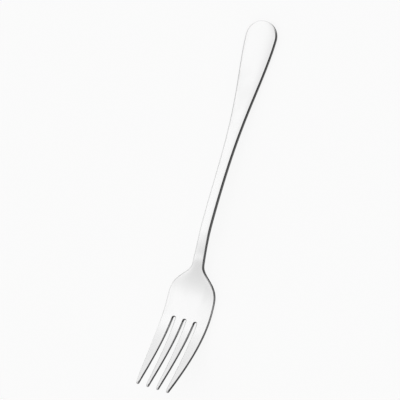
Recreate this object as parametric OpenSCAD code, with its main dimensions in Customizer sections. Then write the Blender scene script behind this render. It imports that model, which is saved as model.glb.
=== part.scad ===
// Dinner fork: one stamped and polished steel blank, drawn as the zones that a cutlery maker names.
// It lies on a table. +Z is up, +Y runs from the handle end to the tine tips, and both sides of X = 0
// are alike. The zones share their curves, so they meet face to face at any size.

/* [Lengths along the table] */
// Handle, from its round end to where the neck begins
handle_l = 92.8; // [80:0.2:110]
// Neck, from the handle to where the shoulders begin
neck_l = 38.8; // [32:0.2:50]
// Shoulders, from the neck to the widest and lowest place of the head
shoulder_l = 24.1; // [16:0.1:28]
// Scoop, from the lowest place of the head to the tine tips
scoop_l = 44.3; // [40:0.1:56]
// Slots between the tines, from their round ends to the tips
slot_l = 37.7; // [30:0.1:42]
// Flat rest under the handle end
rest_l = 25; // [16:1:40]

/* [Widths] */
// Handle at its widest, near the round end
handle_w = 17.4; // [14:0.2:22]
// Neck at its narrowest
neck_w = 5.4; // [4:0.1:6.5]
// Neck where it meets the shoulders
neck_root_w = 6.4; // [5.5:0.1:8]
// Head at its widest
head_w = 27; // [24:0.2:30]
// Outer edge to outer edge of the tine tips
tip_span = 18.8; // [16:0.2:22]
// One tine at its tip
tip_w = 1.4; // [1:0.1:2]
// One slot at its round end
slot_w = 1.5; // [1.2:0.1:3.2]
// Spacing of the slots at their round ends
slot_pitch = 6.3; // [5.6:0.1:7.2]

/* [Thicknesses] */
// Steel at the handle end
handle_t = 2.7; // [1.8:0.1:3.4]
// Steel at the narrowest place of the neck
neck_t = 2.8; // [2:0.1:4]
// Steel at the lowest place of the head
head_t = 2.1; // [1.3:0.1:2.5]
// Steel at the tine tips
tip_t = 2; // [0.8:0.1:2.2]
// Rounding of the edges
edge_r = 0.6; // [0.2:0.05:0.8]

/* [Curves] */
// Height of the neck's underside above the table
neck_rise = 5.4; // [3:0.1:9]
// Height of the tine tips' underside above the table
tip_rise = 20.2; // [14:0.2:26]
// Distance over which the scoop straightens into the tines
scoop_ease = 27; // [14:0.5:40]
// Height of the crown across the top of the handle
handle_crown = 0.45; // [0.1:0.05:0.6]
// Height of the crown across the top of the head
head_crown = 0.2; // [0:0.05:0.5]

/* [Hidden] */
steel = [0.86, 0.86, 0.87];
tine_count = 4;
// How far past the steel a cut runs
overrun = 1;
// Powers that set how soon the outline leaves and reaches each width
taper_start_power = 1.64;
taper_end_power = 4.89;
shoulder_start_power = 3.5;
shoulder_end_power = 4.08;
tine_power = 2;
// Power that sets how near the edges the crown falls off
crown_power = 3;
// Where along the neck it is narrowest and highest
narrow_share = 0.48;
// Most of a wall or a width that its two edge rounds may take
round_share = 0.9;
// Step over which the slope of the side profile is taken
slope_share = 0.0005;
// Turn at which the rings of a round end begin
first_turn = 6;
// Rings along each zone, columns across it, and steps in a rounded corner
end_steps = 9;
handle_steps = 22;
neck_steps = 12;
head_steps = 20;
tine_steps = 14;
tip_steps = 4;
handle_columns = 8;
head_columns = 17;
tine_columns = 3;
corner_steps = 2;
// Sides of the cutters for the round slot ends
slot_facets = 48;

// Places along the fork, from the handle end
end_r = handle_w / 2;
neck_at = handle_l + neck_l * narrow_share;
shoulder_at = handle_l + neck_l;
belly_at = shoulder_at + shoulder_l;
fork_l = belly_at + scoop_l;
root_at = fork_l - slot_l + slot_w / 2;
tip_pitch = (tip_span - tip_w) / (tine_count - 1);
slope_step = fork_l * slope_share;

function mix(a, b, f) = a + (b - a) * f;

function ease(f) = f * f * (3 - 2 * f);

// How far y has come from place a to place b
function along(y, a, b) = (y - a) / (b - a);

// How far a round of radius r draws a face in, at a distance d from the end
function round_off(d, r) = d < r ? r - sqrt(r * r - (r - d) * (r - d)) : 0;

// Half the width of the neck, which flares a little towards the shoulders
function flare(y) = mix(neck_w, neck_root_w, pow(along(y, neck_at, shoulder_at), 2)) / 2;

// How far the shoulders have come from the neck's width to the head's
function shoulder(y) =
    y < shoulder_at ? 0
    : pow(1 - pow(along(y, belly_at, shoulder_at), shoulder_end_power), shoulder_start_power);

// How much of the handle's widening is left
function taper(y) = pow(1 - pow(along(y, end_r, neck_at), taper_start_power), taper_end_power);

// Half the width of the outline
function half_w(y) =
    y < end_r ? sqrt(end_r * end_r - (end_r - y) * (end_r - y))
    : y < neck_at ? mix(neck_w, handle_w, taper(y)) / 2
    : y < belly_at ? mix(flare(y), head_w / 2, shoulder(y))
    : mix(head_w, tip_span, pow(along(y, belly_at, fork_l), tine_power)) / 2;

// Height of the scoop at a distance d from its lowest place: a hyperbola
function scoop(d) = sqrt(d * d + scoop_ease * scoop_ease) - scoop_ease;

// Height of the underside above the table
function underside(y) =
    y < rest_l ? 0
    : y < neck_at ? neck_rise * ease(along(y, rest_l, neck_at))
    : y < belly_at ? neck_rise * ease(along(y, belly_at, neck_at))
    : tip_rise * scoop(y - belly_at) / scoop(scoop_l);

function thickness(y) =
    y < rest_l ? handle_t
    : y < neck_at ? mix(handle_t, neck_t, ease(along(y, rest_l, neck_at)))
    : y < belly_at ? mix(neck_t, head_t, ease(along(y, neck_at, belly_at)))
    : mix(head_t, tip_t, ease(along(y, belly_at, fork_l)));

function middle(y) = underside(y) + thickness(y) / 2;

function slope(y) = atan2(middle(y + slope_step) - middle(y - slope_step), 2 * slope_step);

// How much lower the top face is at its edges: in step with the width as far as the neck, gone at the tips
function crown(y) =
    y < neck_at ? handle_crown * half_w(y) / end_r
    : y < belly_at ? mix(handle_crown * neck_w / handle_w, head_crown, ease(along(y, neck_at, belly_at)))
    : head_crown * (1 - ease(along(y, belly_at, fork_l)));

// How much lower the top face is at x than in the middle
function fall(x, y) = crown(y) * pow(abs(x) / half_w(y), crown_power);

// A point at x across and h off the middle, in the section at y, which stands square to the profile
function place(x, y, h) = [x, y - fork_l / 2 - h * sin(slope(y)), middle(y) + h * cos(slope(y))];

// One section between two edges: a rounded bar, with its faces drawn in by cut and n columns across
function ring(y, left, right, cut, n) =
    let (
        low = cut - thickness(y) / 2,
        high = function (x) -low - fall(x, y),
        edge_t = min(high(left), high(right)) - low,
        r = min(edge_r, round_share * min(edge_t, right - left) / 2),
        flat = [for (i = [0 : n]) mix(left + r, right - r, i / n)],
        turns = [for (i = [1 : corner_steps]) 90 * i / corner_steps],
        top_right = [for (a = turns) [right - r + r * sin(a), high(right - r) - r + r * cos(a)]],
        low_right = [for (a = turns) [right - r + r * sin(a), low + r - r * cos(a)]],
        top_left = [for (p = top_right) [left + right - p[0], p[1] - high(right - r) + high(left + r)]],
        low_left = [for (p = low_right) [left + right - p[0], p[1]]],
        upper = concat(reversed(top_left), [for (x = flat) [x, high(x)]], top_right),
        lower = concat(reversed(low_right), [for (x = reversed(flat)) [x, low]], low_left)
    )
    [for (p = concat(upper, lower)) place(p[0], y, p[1])];

function reversed(list) = [for (i = [len(list) - 1 : -1 : 0]) list[i]];

// Places of a zone's rings, evenly spaced
function steps(a, b, n) = [for (i = [0 : n]) mix(a, b, i / n)];

// Distances from an end of radius r, closer together towards the end
function end_places(r, n) = [for (i = [0 : n - 1]) r * (1 - cos(mix(first_turn, 90, i / n)))];

// A closed skin over rings that all have the same number of points, half above and half below
module skin(rings) {
    n = len(rings[0]);
    last = len(rings) - 1;
    sides = [
        for (i = [0 : last - 1], j = [0 : n - 1])
            let (k = (j + 1) % n)
            each [
                [i * n + j, (i + 1) * n + k, i * n + k],
                [i * n + j, (i + 1) * n + j, (i + 1) * n + k]
            ]
    ];
    // A cap is a ladder between the upper and the lower half of its ring
    first_cap = [
        for (j = [0 : n / 2 - 2])
            each [[j, j + 1, n - 2 - j], [j, n - 2 - j, n - 1 - j]]
    ];
    last_cap = [for (f = first_cap) [for (v = reversed(f)) last * n + v]];
    polyhedron(points = [for (r = rings) each r], faces = concat(sides, first_cap, last_cap));
}

// A zone as wide as the whole outline
module zone(places, n) {
    skin([
        for (y = places)
            ring(y, -half_w(y), half_w(y), round_off(y, min(edge_r, round_share * handle_t / 2)), n)
    ]);
}

// Middle of slot j at its round end
function slot_x(j) = (j - tine_count / 2) * slot_pitch;

// Middle of tine k at its tip
function tip_x(k) = (k - (tine_count + 1) / 2) * tip_pitch;

// Edges of tine k: the outline on the outer side, a straight slot wall on the inner
function tine_left(k, y) =
    k == 1 ? -half_w(y)
    : mix(slot_x(k - 1) + slot_w / 2, tip_x(k) - tip_w / 2, along(y, root_at, fork_l));

function tine_right(k, y) =
    k == tine_count ? half_w(y)
    : mix(slot_x(k) - slot_w / 2, tip_x(k) + tip_w / 2, along(y, root_at, fork_l));

// Cutter for the round end of slot j, square to the steel
module slot_end(j) {
    translate(place(slot_x(j), root_at, 0))
        rotate([slope(root_at), 0, 0])
            cylinder(d = slot_w, h = thickness(root_at) + 2 * overrun, center = true, $fn = slot_facets);
}

module handle() {
    color(steel)
        zone(concat(end_places(end_r, end_steps), steps(end_r, handle_l, handle_steps)), handle_columns);
}

module neck() {
    color(steel)
        zone(steps(handle_l, shoulder_at, neck_steps), handle_columns);
}

module head() {
    color(steel)
        difference() {
            zone(steps(shoulder_at, root_at, head_steps), head_columns);
            for (j = [1 : tine_count - 1])
                slot_end(j);
        }
}

module tine(k) {
    tip_r = tip_w / 2;
    thick_r = round_share * tip_t / 2;
    body = steps(root_at, fork_l - tip_r, tine_steps);
    tip = [for (d = reversed(end_places(tip_r, tip_steps))) fork_l - d];
    color(steel)
        skin([
            for (y = concat(body, tip))
                let (inset = round_off(fork_l - y, tip_r))
                ring(
                    y,
                    tine_left(k, y) + inset,
                    tine_right(k, y) - inset,
                    round_off(fork_l - y, thick_r),
                    tine_columns
                )
        ]);
}

handle();
neck();
head();
for (k = [1 : tine_count])
    tine(k);
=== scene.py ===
import math

import bpy
import numpy as np
from mathutils import Matrix, Vector


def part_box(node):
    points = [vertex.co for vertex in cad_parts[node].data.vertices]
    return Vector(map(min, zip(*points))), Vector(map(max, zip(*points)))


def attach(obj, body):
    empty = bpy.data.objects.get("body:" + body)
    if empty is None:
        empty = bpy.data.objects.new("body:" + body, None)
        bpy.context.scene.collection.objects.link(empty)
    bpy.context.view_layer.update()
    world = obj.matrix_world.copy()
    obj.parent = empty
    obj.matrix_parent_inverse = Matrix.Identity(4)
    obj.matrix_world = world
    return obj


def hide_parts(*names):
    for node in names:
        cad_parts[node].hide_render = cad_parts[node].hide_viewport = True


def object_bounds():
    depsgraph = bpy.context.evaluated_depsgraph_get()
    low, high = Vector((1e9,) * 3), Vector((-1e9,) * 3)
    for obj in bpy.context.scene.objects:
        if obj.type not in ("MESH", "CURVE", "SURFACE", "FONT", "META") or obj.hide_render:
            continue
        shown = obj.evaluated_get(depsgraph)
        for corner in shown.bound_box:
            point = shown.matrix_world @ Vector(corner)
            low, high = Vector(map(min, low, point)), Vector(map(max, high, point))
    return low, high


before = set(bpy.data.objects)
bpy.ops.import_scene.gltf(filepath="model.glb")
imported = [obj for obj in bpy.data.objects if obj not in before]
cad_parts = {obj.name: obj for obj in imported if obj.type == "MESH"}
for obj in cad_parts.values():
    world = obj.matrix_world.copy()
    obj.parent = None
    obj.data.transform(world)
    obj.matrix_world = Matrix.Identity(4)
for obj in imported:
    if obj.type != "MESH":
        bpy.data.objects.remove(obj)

cad_low, cad_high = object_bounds()

# A stamped and polished steel dinner fork. Its blank is laid out flat, as rows along the length and
# columns across, its rim is rounded, and the whole is then pressed into the fork's side profile.
# Every length is in metres. A place "y" is measured along the table from the round handle end.
# Left is -X and right is +X, as seen from above with the tips away. Front is past the tips, and back
# is past the handle end.

# Lengths along the table
HANDLE_L = 0.0928
NECK_L = 0.0388
SHOULDER_L = 0.0241
SCOOP_L = 0.0443
SLOT_L = 0.0377
REST_L = 0.025

# Widths
HANDLE_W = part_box("handle")[1].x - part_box("handle")[0].x
HEAD_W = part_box("head")[1].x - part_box("head")[0].x
NECK_W = 0.0054
NECK_ROOT_W = 0.0064
TIP_SPAN = 0.0188
TIP_W = 0.0014
SLOT_W = 0.0015
SLOT_PITCH = 0.0063

# Thicknesses
HANDLE_T = 0.0027
NECK_T = 0.0028
HEAD_T = 0.0021
TIP_T = 0.002
EDGE_R = 0.0006

# Curves
NECK_RISE = 0.0054
TIP_RISE = 0.0202
SCOOP_EASE = 0.027
HANDLE_CROWN = 0.00045
HEAD_CROWN = 0.0002
CROWN_POWER = 3
TAPER_POWERS = (1.64, 4.89)
SHOULDER_POWERS = (3.5, 4.08)
TINE_POWER = 2
NARROW_SHARE = 0.48
# Shallow hollow across the top of the neck: each bank's place, half length and half height, down then up
HOLLOW_BANKS = ((0.116, 0.0045, -0.00012), (0.1282, 0.003, 0.0001))

# Places along the fork
END_R = HANDLE_W / 2
NECK_AT = HANDLE_L + NECK_L * NARROW_SHARE
SHOULDER_AT = HANDLE_L + NECK_L
BELLY_AT = SHOULDER_AT + SHOULDER_L
FORK_L = BELLY_AT + SCOOP_L
SLOT_AT = FORK_L - SLOT_L
ROOT_AT = SLOT_AT + SLOT_W / 2
TINES = 4
TIP_R = TIP_W / 2
TIP_PITCH = (TIP_SPAN - TIP_W) / (TINES - 1)

# How finely the blank is divided
END_ROWS = 15
HANDLE_ROWS = 46
NECK_ROWS = 30
SHOULDER_ROWS = 26
BELLY_ROWS = 10
TINE_ROWS = 30
TINE_COLUMNS = 4
SLOT_COLUMNS = 6
CORNER_STEPS = 5
# Steps over which slopes and normals are taken, and a least width to divide by
SLOPE_STEP = 0.0001
FACE_STEP = 0.00012
TINY = 1e-6

# Where the photograph's camera stands: tilted from straight above, towards the fork's left
CAMERA_DISTANCE = 1.254
CAMERA_TILT = math.radians(23.36)
CAMERA_LEAN = math.radians(0.1)
CAMERA_TURN = math.radians(-14.97)
FRAME_PX = 400
PX_PER_METRE = 1904
ORIGIN_PX = (217.3, 205.29)
SENSOR_MM = 36

# Tone and roughness of the steel, each plain and then smudged
STEEL_TONES = (0.8, 0.785)
POLISH = (0.17, 0.23)
# The edge, darkened as a painted dark reflection and made duller: its share of that tone, its added
# roughness, and where it begins and is whole
PAINTED_EDGE_REFLECTION_SHARE = 0.065
EDGE_DULLING = 0.15
PAINTED_REFLECTION_AND_DULLING_RANGE = (0.7, 0.86)
# How far the edge's painted dark reflection and added roughness reach up the rim, at places along the
# fork: least on its two ends
TIP_FADE_L = 0.004
TAPER_SHARE = 0.75
TAPER_AT = HANDLE_L * TAPER_SHARE
EDGE_PLACES = (0, END_R, REST_L, TAPER_AT, SHOULDER_AT, BELLY_AT, FORK_L - TIP_FADE_L, FORK_L)
EDGE_REACH = (0.75, 1.25, 1.7, 1.2, 1.0, 0.86, 1.3, 0.78)
# The same in the slots: most round their ends, then little along the stretch after that
SLOT_END_L = 0.002
SLOT_PLAIN_L = 0.007
SLOT_PLACES = (SLOT_AT, SLOT_AT + SLOT_END_L, SLOT_AT + SLOT_PLAIN_L, FORK_L - TIP_FADE_L, FORK_L)
SLOT_REACH = (1.45, 0.82, 0.82, 1.35, 0.78)
# Smudges: their size along X, Y and Z, their detail, and the noise at which they begin and are whole
SMUDGE_SIZE = (0.009, 0.018, 0.009)
SMUDGE_DETAIL = 2
SMUDGE_RANGE = (0.5, 0.75)
# Polishing lines along the fork: their size along X, Y and Z, their detail and their depth
LINE_SIZE = (0.00018, 0.02, 0.00018)
LINE_DETAIL = 3
LINE_DEPTH = 0.000002

# Table, which shows a share of plain white and the rest as lit and shaded
FLOOR_HALF = 20
FLOOR_GAP = 0.00005
FLOOR_COLOUR = 0.97
FLOOR_WHITE_SHARE = 0.87

# Light of the tent, and its shares in front, low on the right, in the dark seam over that and in the
# dark gap on the left
TENT_LIGHT = 1.0
FRONT_SHARE = 0.82
LOW_SHARE = 0.87
SEAM_SHARE = 0.2
GAP_SHARE = 0.05
# What the key adds on the right, its share at the back, and the share of X that slants its front border
KEY_LIGHT = 0.21
KEY_BACK_SHARE = 0.12
KEY_SLANT = -0.5
# Where each begins and is whole, by how far a direction runs along X, Y or Z, or along the slant
KEY_RIGHT = (0.08, 0.42)
KEY_FRONT = (0.235, 0.035)
KEY_BACK = (-0.78, -0.42)
FRONT = (0.2, 0.45)
SEAM_NEAR = (0.64, 0.71)
SEAM_FAR = (0.86, 0.78)
LOW_RIGHT = (0.72, 0.95)
LOW_BACK = (-0.45, -0.3)
GAP_LEFT = (-0.1, -0.35)
GAP_FRONT = (0.6, 0.3)
GAP_BACK = (-0.75, -0.5)
GAP_LOW = (0.05, 0.3)


def mix(a, b, f):
    """What lies a share f of the way from a to b."""
    return a + (b - a) * f


def ease(f):
    """A share that leaves 0 and reaches 1 softly."""
    f = np.clip(f, 0, 1)
    return f * f * (3 - 2 * f)


def along(y, a, b):
    """How far y has come from place a to place b, from 0 to 1."""
    return np.clip((y - a) / (b - a), 0, 1)


def half_width(y):
    """Half the width of the outline: a round end, a taper, a flared neck, shoulders, then the tines."""
    end = np.sqrt(np.maximum(END_R**2 - (END_R - np.minimum(y, END_R)) ** 2, 0))
    taper = (1 - along(y, END_R, NECK_AT) ** TAPER_POWERS[0]) ** TAPER_POWERS[1]
    handle = mix(NECK_W, HANDLE_W, taper) / 2
    flare = mix(NECK_W, NECK_ROOT_W, np.square((y - NECK_AT) / (SHOULDER_AT - NECK_AT))) / 2
    shoulder = (1 - along(y, BELLY_AT, SHOULDER_AT) ** SHOULDER_POWERS[1]) ** SHOULDER_POWERS[0]
    head = mix(flare, HEAD_W / 2, shoulder)
    tines = mix(HEAD_W, TIP_SPAN, along(y, BELLY_AT, FORK_L) ** TINE_POWER) / 2
    return np.select([y < END_R, y < NECK_AT, y < BELLY_AT], [end, handle, head], tines)


def scoop(distance):
    """Height of the scoop at a distance from its lowest place: a hyperbola."""
    return np.sqrt(distance**2 + SCOOP_EASE**2) - SCOOP_EASE


def underside(y):
    """Height of the underside above the table."""
    handle = NECK_RISE * ease(along(y, REST_L, NECK_AT))
    head = NECK_RISE * ease(along(y, BELLY_AT, NECK_AT))
    tines = TIP_RISE * scoop(y - BELLY_AT) / scoop(SCOOP_L)
    return np.select([y < NECK_AT, y < BELLY_AT], [handle, head], tines)


def thickness(y):
    """Thickness of the steel."""
    handle = mix(HANDLE_T, NECK_T, ease(along(y, REST_L, NECK_AT)))
    head = mix(NECK_T, HEAD_T, ease(along(y, NECK_AT, BELLY_AT)))
    tines = mix(HEAD_T, TIP_T, ease(along(y, BELLY_AT, FORK_L)))
    return np.select([y < NECK_AT, y < BELLY_AT], [handle, head], tines)


def middle(y):
    """Height of the middle of the steel above the table."""
    return underside(y) + thickness(y) / 2


def slope(y):
    """Angle at which the steel rises towards the tips."""
    return np.arctan2(middle(y + SLOPE_STEP) - middle(y - SLOPE_STEP), 2 * SLOPE_STEP)


def crown(y):
    """How much lower the top face is at its edges than in the middle."""
    handle = HANDLE_CROWN * half_width(y) / END_R
    neck = HANDLE_CROWN * NECK_W / HANDLE_W
    head = mix(neck, HEAD_CROWN, ease(along(y, NECK_AT, BELLY_AT)))
    tines = HEAD_CROWN * (1 - ease(along(y, BELLY_AT, FORK_L)))
    return np.select([y < NECK_AT, y < BELLY_AT], [handle, head], tines)


def hollow(y):
    """How much higher the hollow's banks make the top face: a wave down and one up, which fade out."""
    runs = [((y - place) / half_l, height) for place, half_l, height in HOLLOW_BANKS]
    return sum(height * 2 * run / (1 + run**2) for run, height in runs)


def top_height(x, y):
    """Height of the top face over the middle of the steel."""
    share = np.minimum(np.abs(x) / np.maximum(half_width(y), TINY), 1)
    return thickness(y) / 2 + hollow(y) - crown(y) * share**CROWN_POWER


def low_height(x, y):
    """Height of the bottom face over the middle of the steel."""
    return -thickness(y) / 2


def press(x, y, h):
    """Points of the flat blank, at a height h off its middle, pressed into the fork's side profile."""
    turn = slope(y)
    return np.stack([x, y - FORK_L / 2 - h * np.sin(turn), middle(y) + h * np.cos(turn)], axis=-1)


def unit(v):
    """Vectors of length 1 along the given ones."""
    return v / np.maximum(np.linalg.norm(v, axis=-1, keepdims=True), TINY * TINY)


def slot_x(j):
    """Middle of slot j at its round end, counted from 1."""
    return (j - TINES / 2) * SLOT_PITCH


def tip_x(k):
    """Middle of tine k at its tip, counted from 1."""
    return (k - (TINES + 1) / 2) * TIP_PITCH


def tine_edge(k, side, y):
    """Edge of tine k on its left, -1, or right, 1: the outline outside, a straight slot wall inside."""
    if (k, side) in ((1, -1), (TINES, 1)):
        return side * half_width(y)
    root = slot_x(k if side > 0 else k - 1) - side * SLOT_W / 2
    tip = tip_x(k) + side * TIP_W / 2
    return mix(root, tip, (y - ROOT_AT) / (FORK_L - ROOT_AT))


def row_places():
    """Places of the rows, and the numbers of the rows where the neck, head and tines begin."""
    turns = np.linspace(0, math.pi / 2, END_ROWS, endpoint=False)
    stops = [END_R, HANDLE_L, SHOULDER_AT, BELLY_AT, ROOT_AT, FORK_L - TIP_R]
    counts = [HANDLE_ROWS, NECK_ROWS, SHOULDER_ROWS, BELLY_ROWS, TINE_ROWS]
    stretches = [END_R * (1 - np.cos(turns))]
    for start, stop, count in zip(stops, stops[1:], counts):
        stretches.append(np.linspace(start, stop, count, endpoint=False))
    neck_row = END_ROWS + HANDLE_ROWS
    head_row = neck_row + NECK_ROWS
    root_row = head_row + SHOULDER_ROWS + BELLY_ROWS
    return np.append(np.concatenate(stretches), stops[-1]), neck_row, head_row, root_row


ROWS, NECK_ROW, HEAD_ROW, ROOT_ROW = row_places()
LAST_ROW = len(ROWS) - 1
TIP_ROW = LAST_ROW + 1
LAST_COLUMN = TINES * TINE_COLUMNS + (TINES - 1) * SLOT_COLUMNS
ALL_COLUMNS = (0, LAST_COLUMN)


def tine_columns(k):
    """First and last column of tine k."""
    first = (k - 1) * (TINE_COLUMNS + SLOT_COLUMNS)
    return first, first + TINE_COLUMNS


def zone_of(row, k):
    """Zone of the strip that follows a row, in the columns of tine k."""
    if row < NECK_ROW:
        return "handle"
    if row < HEAD_ROW:
        return "neck"
    if row < ROOT_ROW:
        return "head"
    return f"tine_{k}"


def tip_stations(k):
    """Rim of tine k's round tip, from right to left."""
    first, last = tine_columns(k)
    left, right = tine_edge(k, -1, ROWS[-1]), tine_edge(k, 1, ROWS[-1])
    for step, column in enumerate(range(last, first - 1, -1), start=1):
        turn = math.pi * step / (TINE_COLUMNS + 2)
        x = mix(left, right, (1 + math.cos(turn)) / 2)
        yield (TIP_ROW, column), (x, ROWS[-1] + TIP_R * math.sin(turn)), f"tine_{k}"


def slot_stations(j):
    """Rim of slot j: down the left wall of the tine after it, round its end, and up the other wall."""
    first, last = tine_columns(j + 1)[0], tine_columns(j)[1]
    for row in range(LAST_ROW, ROOT_ROW, -1):
        yield (row, first), (tine_edge(j + 1, -1, ROWS[row]), ROWS[row]), f"tine_{j + 1}"
    for step in range(SLOT_COLUMNS):
        turn = math.pi * step / SLOT_COLUMNS
        x = slot_x(j) + SLOT_W / 2 * math.cos(turn)
        yield (ROOT_ROW, first - step), (x, ROOT_AT - SLOT_W / 2 * math.sin(turn)), "head"
    for row in range(ROOT_ROW, LAST_ROW + 1):
        yield (row, last), (tine_edge(j, 1, ROWS[row]), ROWS[row]), f"tine_{j}"


def rim_stations():
    """The rim, anticlockwise from the handle end: (row, column) inside, its place, the zone after it."""
    yield (0, 0), (0.0, 0.0), "handle"
    for row in range(1, LAST_ROW + 1):
        yield (row, LAST_COLUMN), (half_width(ROWS[row]), ROWS[row]), zone_of(row, TINES)
    for k in range(TINES, 1, -1):
        yield from tip_stations(k)
        yield from slot_stations(k - 1)
    yield from tip_stations(1)
    for row in range(LAST_ROW, 0, -1):
        yield (row, 0), (-half_width(ROWS[row]), ROWS[row]), zone_of(row - 1, 1)


def rim_directions(places):
    """Outward directions in the flat blank, by the circle through each place and its neighbours."""
    before = places - np.roll(places, 1, axis=0)
    after = np.roll(places, -1, axis=0) - places
    before_size = np.linalg.norm(before, axis=1, keepdims=True)
    after_size = np.linalg.norm(after, axis=1, keepdims=True)
    tangent = unit(before * after_size / before_size + after * before_size / after_size)
    return np.stack([tangent[:, 1], -tangent[:, 0]], axis=1)


def face_grid(inner):
    """Flat places of a face by (row, column), spread between the places just inside the rim."""
    grid = dict(inner)
    for k in range(1, TINES + 1):
        first, last = tine_columns(k)
        for row in range(ROOT_ROW, LAST_ROW + 1):
            for step in range(1, TINE_COLUMNS):
                grid[row, first + step] = mix(inner[row, first], inner[row, last], step / TINE_COLUMNS)
    corner = grid[ROOT_ROW, LAST_COLUMN]
    for row in range(1, ROOT_ROW):
        # The rows before the slots bend round the slot ends
        bend = ease(along(ROWS[row], BELLY_AT, ROOT_AT))
        side = inner[row, LAST_COLUMN]
        for column in range(LAST_COLUMN + 1):
            root = grid[ROOT_ROW, column]
            x = side[0] * (root[0] / corner[0])
            y = side[1] + (root[1] - corner[1]) * bend
            grid[row, column] = np.array([x, y])
    return grid


def face_normals(x, y, height):
    """Upward normals of the pressed sheet that lies at a height off the middle of the steel."""
    step = FACE_STEP
    over = press(x + step, y, height(x + step, y)) - press(x - step, y, height(x - step, y))
    on = press(x, y + step, height(x, y + step)) - press(x, y - step, height(x, y - step))
    return unit(np.cross(over, on))


class Steel:
    """The pressed fork as points with normals, how far each reaches onto the rim, and faces by zone."""

    def __init__(self):
        self.points, self.normals, self.rim = [], [], []
        self.faces = {}

    def add(self, points, normals, rim):
        """Adds points and returns their numbers."""
        start = len(self.points)
        self.points.extend(points)
        self.normals.extend(normals)
        self.rim.extend(np.broadcast_to(rim, len(points)))
        return np.arange(start, len(self.points))

    def face(self, zone, corners):
        """Adds a face to a zone, less any corner that repeats."""
        kept = list(dict.fromkeys(int(c) for c in corners))
        self.faces.setdefault(zone, []).append(kept)


def strips():
    """Each strip of faces on a sheet: the row before it, its first and last column, and its zone."""
    for row in range(ROOT_ROW):
        yield row, ALL_COLUMNS, zone_of(row, 1)
    for k in range(1, TINES + 1):
        for row in range(ROOT_ROW, TIP_ROW):
            yield row, tine_columns(k), zone_of(row, k)


def add_sheet(steel, grid, height, up):
    """Adds the top or the bottom face of the steel, and returns its points' numbers by (row, column)."""
    keys = list(grid)
    x, y = np.array([grid[key] for key in keys]).T
    normals = face_normals(x, y, height) * (1 if up else -1)
    ids = dict(zip(keys, steel.add(press(x, y, height(x, y)), normals, 0)))
    for column in range(1, LAST_COLUMN + 1):
        ids[0, column] = ids[0, 0]
    for row, columns, zone in strips():
        for c in range(*columns):
            corners = [ids[row, c], ids[row, c + 1], ids[row + 1, c + 1], ids[row + 1, c]]
            steel.face(zone, corners if up else corners[::-1])
    return ids


def add_rim(steel, keys, places, outward, zones, top, low):
    """Adds the rounded rim between the faces, and returns each station's points from top to bottom."""
    y = places[:, 1]
    inner_x, inner_y = (places - outward * EDGE_R).T
    step = outward * FACE_STEP
    out = unit(press(*(places + step).T, 0) - press(*(places - step).T, 0))
    in_slot = [0 < column < LAST_COLUMN and row < TIP_ROW for row, column in keys]
    slot_reach = np.interp(y, SLOT_PLACES, SLOT_REACH)
    reach = np.where(in_slot, slot_reach, np.interp(y, EDGE_PLACES, EDGE_REACH))
    levels = [np.array([top[key] for key in keys])]
    turns = np.linspace(0, math.pi / 2, CORNER_STEPS + 1)[1:]
    corners = [(top_height, 1, turn) for turn in turns]
    corners += [(low_height, -1, turn) for turn in turns[::-1]]
    for height, sign, turn in corners:
        flat = places - outward * EDGE_R * (1 - math.sin(turn))
        h = height(inner_x, inner_y) - sign * EDGE_R * (1 - math.cos(turn))
        face = sign * face_normals(inner_x, inner_y, height)
        normals = unit(face * math.cos(turn) + out * math.sin(turn))
        levels.append(steel.add(press(*flat.T, h), normals, math.sin(turn) * reach))
    levels.append(np.array([low[key] for key in keys]))
    ladder = np.stack(levels, axis=1)
    for here, after, zone in zip(ladder, np.roll(ladder, -1, axis=0), zones):
        for level in range(len(levels) - 1):
            steel.face(zone, [here[level], here[level + 1], after[level + 1], after[level]])
    return dict(zip(keys, ladder))


def cap_faces(row, columns, top, low, rim):
    """Faces across the steel at a row, looking towards the tips."""
    first, last = columns
    for c in range(first, last):
        yield [top[row, c], top[row, c + 1], low[row, c + 1], low[row, c]]
    yield list(rim[row, last])
    yield list(rim[row, first][::-1])


def build_steel():
    """The whole fork, and each zone's end caps as (corners, direction)."""
    keys, places, zones = map(list, zip(*rim_stations()))
    places = np.array(places, dtype=float)
    outward = rim_directions(places)
    grid = face_grid(dict(zip(keys, places - outward * EDGE_R)))
    steel = Steel()
    top = add_sheet(steel, grid, top_height, up=True)
    low = add_sheet(steel, grid, low_height, up=False)
    rim = add_rim(steel, keys, places, outward, zones, top, low)
    joins = [("handle", "neck", NECK_ROW, ALL_COLUMNS), ("neck", "head", HEAD_ROW, ALL_COLUMNS)]
    joins += [("head", f"tine_{k}", ROOT_ROW, tine_columns(k)) for k in range(1, TINES + 1)]
    caps = {zone: [] for zone in steel.faces}
    for before, after, row, columns in joins:
        turn = slope(ROWS[row])
        ahead = np.array([0, math.cos(turn), math.sin(turn)])
        for corners in cap_faces(row, columns, top, low, rim):
            caps[before].append((corners, ahead))
            caps[after].append((corners[::-1], -ahead))
    return steel, caps


def steel_piece(zone, steel, caps, material):
    """One zone of the fork as a closed mesh that stands for the solid of the same name."""
    faces = steel.faces[zone] + [corners for corners, _ in caps]
    used = sorted({int(c) for face in faces for c in face})
    number = {old: new for new, old in enumerate(used)}
    mesh = bpy.data.meshes.new(f"{zone}_steel")
    numbered = [[number[int(c)] for c in face] for face in faces]
    mesh.from_pydata([steel.points[i] for i in used], [], numbered)
    mesh.polygons.foreach_set("use_smooth", [True] * len(faces))
    shown = [steel.normals[i] for face in steel.faces[zone] for i in face]
    hidden = [ahead for corners, ahead in caps for _ in corners]
    mesh.normals_split_custom_set([tuple(n) for n in shown + hidden])
    rim = mesh.attributes.new("rim", "FLOAT", "POINT")
    rim.data.foreach_set("value", [steel.rim[i] for i in used])
    mesh.materials.append(material)
    piece = bpy.data.objects.new(f"{zone}_steel", mesh)
    bpy.context.scene.collection.objects.link(piece)
    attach(piece, "root")
    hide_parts(zone)


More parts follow.
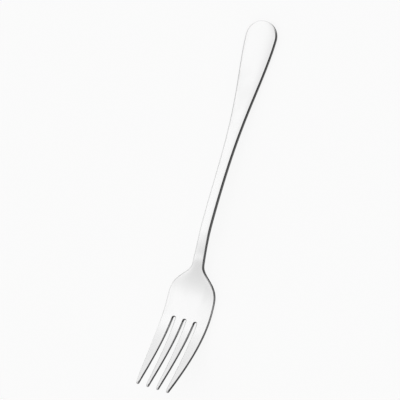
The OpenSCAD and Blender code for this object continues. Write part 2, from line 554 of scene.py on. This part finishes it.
def add_node(tree, kind, inputs=None, **settings):
    """A new node, with its settings, and values or other nodes' outputs on its inputs."""
    node = tree.nodes.new(f"ShaderNode{kind}")
    for name, value in settings.items():
        setattr(node, name, value)
    for key, value in (inputs or {}).items():
        if isinstance(value, bpy.types.NodeSocket):
            tree.links.new(value, node.inputs[key])
        else:
            node.inputs[key].default_value = value
    return node


def ramp(tree, value, start, stop, low=0.0, high=1.0, kind="SMOOTHSTEP"):
    """Goes from low to high, softly unless a kind is given, as a value goes from start to stop."""
    ends = {"Value": value, "From Min": start, "From Max": stop, "To Min": low, "To Max": high}
    return add_node(tree, "MapRange", ends, interpolation_type=kind).outputs["Result"]


def joined(tree, operation, values):
    """All the values put together, one after the other, by a math operation."""
    whole = values[0]
    for value in values[1:]:
        whole = add_node(tree, "Math", {0: whole, 1: value}, operation=operation).outputs["Value"]
    return whole


def product(tree, *values):
    """All the values multiplied."""
    return joined(tree, "MULTIPLY", values)


def total(tree, *values):
    """All the values added."""
    return joined(tree, "ADD", values)


def shader(name):
    """A new material, its node tree and its main shader."""
    material = bpy.data.materials.new(name)
    material.use_nodes = True
    return material, material.node_tree, material.node_tree.nodes["Principled BSDF"]


def grain(tree, place, size, detail):
    """Noise of about a size along X, Y and Z, from 0 to 1."""
    spread = add_node(tree, "Mapping", {"Vector": place, "Scale": [1 / s for s in size]})
    noise = {"Vector": spread.outputs["Vector"], "Scale": 1.0, "Detail": detail}
    return add_node(tree, "TexNoise", noise).outputs["Fac"]


def stainless():
    """Polished stainless steel, with faint lines along the fork, smudges, and a rougher edge whose tone
    is darkened as a painted dark reflection.
    """
    material, tree, steel = shader("stainless")
    place = add_node(tree, "TexCoord").outputs["Object"]
    rim = add_node(tree, "Attribute", attribute_name="rim").outputs["Fac"]
    lines = grain(tree, place, LINE_SIZE, LINE_DETAIL)
    smudges = grain(tree, place, SMUDGE_SIZE, SMUDGE_DETAIL)
    tone = ramp(tree, smudges, *SMUDGE_RANGE, *STEEL_TONES)
    # The tone is darkened towards the rim: a painted dark reflection on the edge
    tone = product(tree, tone, ramp(tree, rim, *PAINTED_REFLECTION_AND_DULLING_RANGE, 1, PAINTED_EDGE_REFLECTION_SHARE))
    rough = ramp(tree, smudges, *SMUDGE_RANGE, *POLISH)
    rough = total(tree, rough, ramp(tree, rim, *PAINTED_REFLECTION_AND_DULLING_RANGE, 0, EDGE_DULLING))
    bump = add_node(tree, "Bump", {"Height": lines, "Distance": LINE_DEPTH, "Strength": 1.0})
    tree.links.new(tone, steel.inputs["Base Color"])
    tree.links.new(rough, steel.inputs["Roughness"])
    tree.links.new(bump.outputs["Normal"], steel.inputs["Normal"])
    steel.inputs["Metallic"].default_value = 1
    return material


def add_floor():
    """A white table top, which shows some plain white and some of the light and shade on it."""
    material, tree, paint = shader("table")
    paint.inputs["Base Color"].default_value = (FLOOR_COLOUR, FLOOR_COLOUR, FLOOR_COLOUR, 1)
    paint.inputs["Roughness"].default_value = 1
    paint.inputs["Specular IOR Level"].default_value = 0
    rays = add_node(tree, "LightPath").outputs
    seen = total(tree, rays["Is Camera Ray"], rays["Is Glossy Ray"], rays["Is Transmission Ray"])
    white = add_node(tree, "Emission", {"Strength": 1.0}).outputs["Emission"]
    share = product(tree, seen, FLOOR_WHITE_SHARE)
    look = add_node(tree, "MixShader", {"Fac": share, 1: paint.outputs["BSDF"], 2: white})
    tree.links.new(look.outputs["Shader"], tree.nodes["Material Output"].inputs["Surface"])
    corners = [(x * FLOOR_HALF, y * FLOOR_HALF, 0) for x, y in ((-1, -1), (1, -1), (1, 1), (-1, 1))]
    mesh = bpy.data.meshes.new("table")
    mesh.from_pydata(corners, [], [(0, 1, 2, 3)])
    mesh.materials.append(material)
    table = bpy.data.objects.new("table", mesh)
    table.location.z = cad_low.z - FLOOR_GAP
    bpy.context.scene.collection.objects.link(table)


def add_world():
    """A white light tent, brighter on the right, with a dark seam there and a dark gap on the left."""
    world = bpy.data.worlds.new("tent")
    world.use_nodes = True
    tree = world.node_tree
    direction = add_node(tree, "TexCoord").outputs["Generated"]
    toward = add_node(tree, "SeparateXYZ", {"Vector": direction}).outputs
    x, y, z = toward["X"], toward["Y"], toward["Z"]
    slant = total(tree, y, product(tree, x, KEY_SLANT))
    front = ramp(tree, y, *FRONT, TENT_LIGHT, TENT_LIGHT * FRONT_SHARE)
    key = product(
        tree,
        ramp(tree, x, *KEY_RIGHT),
        ramp(tree, slant, *KEY_FRONT, kind="LINEAR"),
        ramp(tree, y, *KEY_BACK, KEY_LIGHT * KEY_BACK_SHARE, KEY_LIGHT),
    )
    low = product(tree, ramp(tree, x, *LOW_RIGHT), ramp(tree, y, *LOW_BACK))
    seam = product(
        tree,
        ramp(tree, x, *SEAM_NEAR),
        ramp(tree, x, *SEAM_FAR),
        ramp(tree, y, *LOW_BACK),
    )
    gap = product(
        tree,
        ramp(tree, x, *GAP_LEFT),
        ramp(tree, y, *GAP_FRONT),
        ramp(tree, y, *GAP_BACK),
        ramp(tree, z, *GAP_LOW),
    )
    light = product(
        tree,
        total(tree, front, key),
        ramp(tree, low, 0, 1, 1, LOW_SHARE),
        ramp(tree, seam, 0, 1, 1, SEAM_SHARE),
        ramp(tree, gap, 0, 1, 1, GAP_SHARE),
    )
    tree.links.new(light, tree.nodes["Background"].inputs["Strength"])
    tree.nodes["Background"].inputs["Color"].default_value = (1, 1, 1, 1)
    bpy.context.scene.world = world


def add_camera():
    """The photograph's camera, looking down at the fork."""
    back = Vector((
        -math.sin(CAMERA_TILT) * math.cos(CAMERA_LEAN),
        math.sin(CAMERA_LEAN),
        math.cos(CAMERA_TILT) * math.cos(CAMERA_LEAN),
    ))
    tips = Vector((0, 1, 0))
    # Directions down and across the picture, then turned in its plane
    down = (tips - back * tips.dot(back)).normalized()
    across = back.cross(down)
    across, down = (
        across * math.cos(CAMERA_TURN) + down * math.sin(CAMERA_TURN),
        down * math.cos(CAMERA_TURN) - across * math.sin(CAMERA_TURN),
    )
    offset = [(px - FRAME_PX / 2) / PX_PER_METRE for px in ORIGIN_PX]
    place = back * CAMERA_DISTANCE - across * offset[0] - down * offset[1]
    lens = bpy.data.cameras.new("camera")
    lens.sensor_width = SENSOR_MM
    lens.lens = SENSOR_MM * PX_PER_METRE * CAMERA_DISTANCE / FRAME_PX
    camera = bpy.data.objects.new("camera", lens)
    turn = Matrix((across, -down, back)).transposed()
    camera.matrix_world = Matrix.Translation(place) @ turn.to_4x4()
    bpy.context.scene.collection.objects.link(camera)
    bpy.context.scene.camera = camera


fork, fork_caps = build_steel()
steel_material = stainless()
for fork_zone in fork.faces:
    steel_piece(fork_zone, fork, fork_caps[fork_zone], steel_material)
add_floor()
add_world()
add_camera()
bpy.context.scene.view_settings.view_transform = "Standard"
